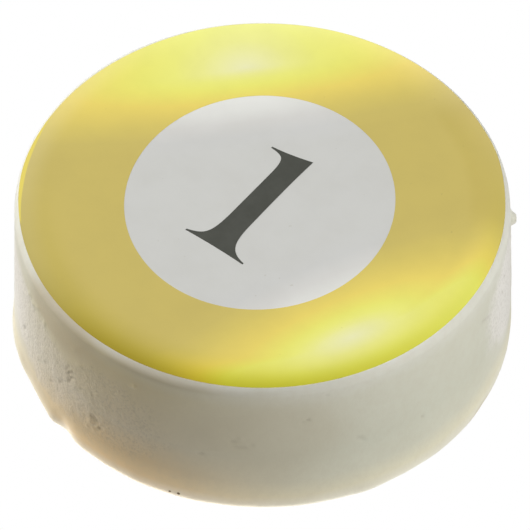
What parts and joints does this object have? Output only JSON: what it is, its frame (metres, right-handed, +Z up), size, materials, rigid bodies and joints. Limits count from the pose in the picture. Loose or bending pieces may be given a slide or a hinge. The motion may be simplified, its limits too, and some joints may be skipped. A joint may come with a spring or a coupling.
{
  "type": "printed coated sandwich cookie",
  "caption": "Round sandwich cookie in a moulded white coating, with a flush printed icing top that shows a yellow number 1 pool ball.",
  "frame": {"origin": "centre of the flat underside, on the axis", "axes": "+Z up along the axis, towards the printed top; +Y towards the top of the numeral; +X to the numeral's right"},
  "size_m": [0.0508, 0.0508, 0.018],
  "materials": {
    "white_coating": "satin",
    "cocoa_biscuit": "matte",
    "creme": "matte",
    "icing": "satin",
    "yellow_ink": "satin",
    "dark_ink": "satin"
  },
  "bodies": {
    "root": {"coating_shell": "white_coating", "coating_base": "white_coating", "upper_wafer": "cocoa_biscuit", "creme_filling": "creme", "lower_wafer": "cocoa_biscuit", "icing_sheet": "icing", "yellow_print": "yellow_ink", "numeral_print": "dark_ink"}
  },
  "joints": []
}
